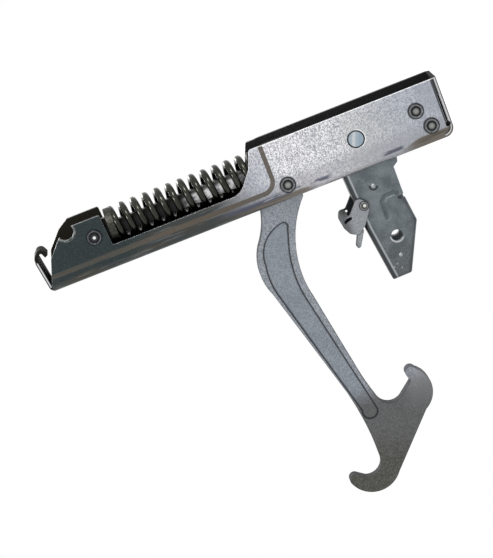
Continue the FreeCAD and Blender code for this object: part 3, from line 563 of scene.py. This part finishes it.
arm_steel, arm_face, spot = new_finish("arm_steel")
x, y, z = spot.millimetres()
grain = spot.cloud(0.45, 4.0) * 0.6 + spot.spangle(0.5) * 0.4
haze = spot.cloud(14.0, 3.0)
towards_claw = 1.0 - x.rise(claw_end_x, claw_end_x + 14.0)
past_throat = 0.0 - z * hook_line_x - x * hook_line_z
pocket_floor = 1.0 - abs(y).rise(pocket_y - 0.05, pocket_y + 0.05)
skin = grain.rise(0.28, 0.75).tint(beam_dark, beam_pale)
skin = (pocket_floor * 0.35).tint(skin, pocket_blue)
skin = (haze.rise(0.4, 0.7) * 0.30).tint(skin, beam_haze)
beside = spot.edges(1.3) * (1.0 - pocket_floor) * (1.0 - towards_claw)
skin = (beside * 0.7).tint(skin, grain.rise(0.25, 0.8).tint(rim_dark, rim_pale))
claw = grain.rise(0.3, 0.75).tint(claw_dark, claw_pale)
lower_hook = along_hooks(x, z).rise(*lower_hook_mm) * towards_claw
claw = lower_hook.tint(claw, grain.rise(0.3, 0.8).tint(tip_dark, tip_pale))
claw = (spot.cloud(1.3, 2.0).rise(0.72, 0.76) * 0.6).tint(claw, fleck_grey)
upper_hook = (1.0 - along_hooks(x, z).rise(*upper_hook_mm)) * past_throat.rise(*past_throat_mm)
claw = (upper_hook * 0.7).tint(claw, hook_pale)
skin = towards_claw.tint(skin, claw)
# Painted shade in hollows, along the edges and on the side faces.
skin = (spot.hollows(1.1).rise(0.02, 0.22) * 0.95).tint(skin, arm_hollow_shade)
skin = (spot.edges(1.0) * 0.9).tint(skin, arm_edge_shade)
sides = 1.0 - spot.flat_on()
skin = (sides * 0.75).tint(skin, arm_side_shade)
dull = sides.or_more(spot.edges(0.8) * 0.9)
lay_on(arm_face, base_color=skin, metallic=1.0 - dull, roughness=0.40 + grain * 0.2 + dull * 0.4,
       normal=grain.relief(0.03, 0.3))
finish_nodes(arm_steel, "claw_arm")

# Foot bracket: one sheet folded to a U, zinc plated and smooth, swinging on the foot rivet. The bright
# plating has dulled to blue grey, darker towards the tip. Painted highlights lie on its fold, the lower rim of its
# hole and its pips, and painted shade lies along the fold, in hollows and on its edges.
bracket_grey = (0.145, 0.168, 0.180)
bracket_pale = (0.225, 0.252, 0.266)
bracket_blue = (0.085, 0.098, 0.112)
bracket_light = (0.24, 0.265, 0.285)
bracket_tip_dark = (0.055, 0.060, 0.062)
bracket_tip_pale = (0.19, 0.20, 0.205)
fold_glint = (0.50, 0.52, 0.54)
fold_shade_line = (0.030, 0.031, 0.031)
hole_glint = (0.60, 0.62, 0.64)
rib_shade = (0.070, 0.080, 0.090)
pip_glint = (0.42, 0.44, 0.46)
bracket_hollow_shade = (0.015, 0.015, 0.016)
bracket_edge_shade = (0.07, 0.075, 0.078)
hole_axis = (-53.75, 45.6)
hole_glint_mm = (2.9, 3.0, 3.6, 3.9)
hole_lower_side_mm = (66.7, 68.2)
root_back = (-15.45, 60.8, 0.0536)
tip_back = (-45.3, 59.2, 0.137)
fold_shade_mm = (-0.4, 0.0, 1.5, 2.3)
fold_glint_mm = (2.0, 2.5, 2.7, 3.3)
pip_mm = 0.5
bracket_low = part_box("bracket")[0]
bracket_tip_x = bracket_low[0] * 1000.0
face_y = bracket_low[1] * 1000.0 + pip_mm
bracket_zinc, bracket_face, spot = new_finish("bracket_zinc")
x, y, z = spot.millimetres()
grain = spot.cloud(0.6, 4.0)
haze = spot.cloud(9.0, 3.0)
towards_tip = 1.0 - x.rise(bracket_tip_x + 2.0, bracket_tip_x + 30.0)
skin = grain.rise(0.3, 0.75).tint(bracket_grey, bracket_pale)
skin = (haze.rise(0.42, 0.62) * 0.55).tint(skin, bracket_blue)
skin = ((1.0 - haze.rise(0.30, 0.44)) * 0.45).tint(skin, bracket_light)
skin = (towards_tip * 0.65).tint(skin, grain.rise(0.3, 0.8).tint(bracket_tip_dark, bracket_tip_pale))
# Painted highlights on the fold, the hole's lower rim and the pips, and painted shade along the fold.
from_back = line_at(x, *root_back).or_less(line_at(x, *tip_back)) - z
skin = (from_back.band(*fold_glint_mm) * 0.75).tint(skin, fold_glint)
below_hole = along_hooks(x, z).rise(*hole_lower_side_mm)
hole_glint_ring = spot.from_axis(*hole_axis).band(*hole_glint_mm)
skin = (hole_glint_ring * below_hole * 0.85).tint(skin, hole_glint)
skin = (from_back.band(*fold_shade_mm) * 0.85).tint(skin, fold_shade_line)
skin = (y.band(face_y + 0.04, face_y + 0.3, face_y + 0.7, face_y + 0.9) * 0.45).tint(skin, rib_shade)
raised = 1.0 - y.rise(face_y - 0.30, face_y - 0.06)
skin = (raised * 0.8).tint(skin, pip_glint)
# Painted shade in hollows and along the edges.
skin = (spot.hollows(2.5).rise(0.1, 0.8) * 0.9).tint(skin, bracket_hollow_shade)
skin = (spot.edges(0.35) * 0.6).tint(skin, bracket_edge_shade)
dull = spot.edges(0.5) * 0.8
lay_on(bracket_face, base_color=skin, metallic=1.0 - dull, roughness=0.32 + grain * 0.14 + dull * 0.4,
       normal=grain.relief(0.015, 0.3))
finish_nodes(bracket_zinc, "bracket")

# Latch: a small folded lever with a curled cup and a finger, hung on its own pin through the bracket.
# Plated sheet steel, a little brighter than the bracket, with painted shade on its curl, its far cheek, its edges
# and side faces, and in its gaps.
latch_grey = (0.22, 0.235, 0.25)
latch_pale = (0.44, 0.465, 0.49)
latch_gap_shade = (0.012, 0.012, 0.013)
latch_shade = (0.05, 0.053, 0.056)
latch_curl_shade = (0.085, 0.09, 0.095)
latch_edge_shade = (0.06, 0.064, 0.068)
far_cheek_y = (-6.0, -2.0)
curl_z = (63.5, 68.0)
latch_steel, latch_face, spot = new_finish("latch_steel")
x, y, z = spot.millimetres()
grain = spot.cloud(0.5, 4.0)
skin = grain.rise(0.3, 0.75).tint(latch_grey, latch_pale)
skin = (spot.hollows(2.0).rise(0.05, 0.6) * 0.95).tint(skin, latch_gap_shade)
skin = (y.rise(*far_cheek_y) * 0.85).tint(skin, latch_shade)
skin = (z.rise(*curl_z) * 0.75).tint(skin, latch_curl_shade)
skin = (spot.edges(0.5) * 0.8).tint(skin, latch_edge_shade)
sides = 1.0 - spot.flat_on()
skin = (sides * 0.85).tint(skin, latch_shade)
dull = sides.or_more(spot.edges(0.6) * 0.9)
lay_on(latch_face, base_color=skin, metallic=1.0 - dull, roughness=0.26 + grain * 0.15 + dull * 0.5,
       normal=grain.relief(0.015, 0.3))
finish_nodes(latch_steel, "latch")

# Latch pin: a small domed rivet through the latch and the bracket. A painted highlight sits on its crown inside
# a dark pressed ring, and painted shade darkens its rim and the hollow under the head.
crown_glint = (0.85, 0.84, 0.80)
crown_dark = (0.10, 0.10, 0.095)
crown_ring = (0.22, 0.225, 0.23)
crown_shade = (0.02, 0.02, 0.02)
crown_glint_mm = (0.5, 1.0)
pressed_ring_mm = (1.4, 1.8, 2.0, 2.3)
head_rim_mm = (2.2, 2.4)
latch_pin_steel, latch_pin_face, spot = new_finish("latch_pin_steel")
grain = spot.cloud(0.4, 4.0)
pin_x, pin_z = axis_of("latch_pin")
from_glint = spot.from_axis(pin_x + 0.2, pin_z - 0.3)
from_centre = spot.from_axis(pin_x, pin_z)
skin = from_glint.rise(*crown_glint_mm).tint(crown_glint, crown_dark)
skin = from_centre.band(*pressed_ring_mm).tint(skin, crown_ring)
skin = (from_centre.rise(*head_rim_mm) * 0.95).tint(skin, crown_shade)
skin = (spot.hollows(1.0) * 0.9).tint(skin, crown_shade)
lay_on(latch_pin_face, base_color=skin, metallic=1.0, roughness=0.2 + grain * 0.15, normal=grain.relief(0.01, 0.2))
finish_nodes(latch_pin_steel, "latch_pin")

# Floor, light and camera: the hinge stands clear of a pale floor in soft studio light, with white all
# round it, and the camera looks across the rivets, rolled so that the channel rises to the right.
floor_drop = 0.06
floor_size = 0.9
floor_middle_x = -0.05
floor_paint = (0.86, 0.86, 0.86)
floor_unseen = (0.0, 0.0, 0.0)
floor_seen = (0.35, 0.35, 0.35)
room_light = 0.55
slab = bmesh.new()
bmesh.ops.create_grid(slab, x_segments=1, y_segments=1, size=floor_size)
bmesh.ops.translate(slab, verts=slab.verts, vec=(floor_middle_x, 0, -floor_drop))
floor_mesh = bpy.data.meshes.new("floor")
slab.to_mesh(floor_mesh)
floor = bpy.data.objects.new("floor", floor_mesh)
bpy.context.scene.collection.objects.link(floor)
floor_white, floor_face, spot = new_finish("floor_white")
to_camera = spot.add("ShaderNodeLightPath", {}, {})
lay_on(floor_face, base_color=floor_paint, roughness=0.8,
       emission_color=to_camera.tint(floor_unseen, floor_seen), emission_strength=1.0)
floor_mesh.materials.append(floor_white)

world = bpy.data.worlds.new("studio")
bpy.context.scene.world = world
world.use_nodes = True
sky = world.node_tree
rays = Shade(sky, sky.nodes.new("ShaderNodeLightPath").outputs["Is Camera Ray"])
glossy = Shade(sky, rays.socket.node.outputs["Is Glossy Ray"])
through = Shade(sky, rays.socket.node.outputs["Is Transmission Ray"])
seen = rays.or_more(glossy).or_more(through)
strength = room_light + seen * (1.0 - room_light)
backdrop = sky.nodes["Background"]
backdrop.inputs["Color"].default_value = (1.0, 1.0, 1.0, 1.0)
sky.links.new(strength.socket, backdrop.inputs["Strength"])

view_target = Vector((-0.0452, -0.013, 0.1246))
view_place = Vector((0.2433, -1.2, 0.1164))
view_roll = math.radians(21.4453)
view_focus = 2426.2
image_height = 558.0
back = (view_place - view_target).normalized()
side_axis = Vector((0, 0, -1)) - back * Vector((0, 0, -1)).dot(back)
side_axis.normalize()
up_axis = back.cross(side_axis)
right = side_axis * math.cos(view_roll) - up_axis * math.sin(view_roll)
up = side_axis * math.sin(view_roll) + up_axis * math.cos(view_roll)
lens = bpy.data.cameras.new("camera")
lens.sensor_fit = "VERTICAL"
lens.sensor_height = 36.0
lens.lens = view_focus * lens.sensor_height / image_height
camera = bpy.data.objects.new("camera", lens)
turn = Matrix((right, up, back)).transposed()
camera.matrix_world = turn.to_4x4()
camera.location = view_place
bpy.context.scene.collection.objects.link(camera)
bpy.context.scene.camera = camera

lamps = [
    ("key_lamp", up * 0.75 + back * 0.75 - right * 0.25, 0.30, 4.2),
    ("side_lamp", right * 0.9 + back * 0.4 + up * 0.2, 0.35, 1.4),
    ("far_lamp", -back * 0.8 + up * 0.3 + Vector((0, 0, 0.6)), 0.40, 2.0),
    ("left_lamp", back * 0.62 + Vector((0.15, 0, 0.78)), 0.22, 2.6),
    ("right_lamp", back * 0.66 + Vector((0.10, 0, -0.74)), 0.22, 2.6),
]
for name, direction, size, power in lamps:
    lamp = bpy.data.lights.new(name, "AREA")
    lamp.shape = "DISK"
    lamp.size = size
    lamp.energy = power
    holder = bpy.data.objects.new(name, lamp)
    holder.location = view_target + direction.normalized()
    holder.rotation_euler = direction.to_track_quat("Z", "Y").to_euler()
    bpy.context.scene.collection.objects.link(holder)

bpy.context.scene.view_settings.view_transform = "Standard"
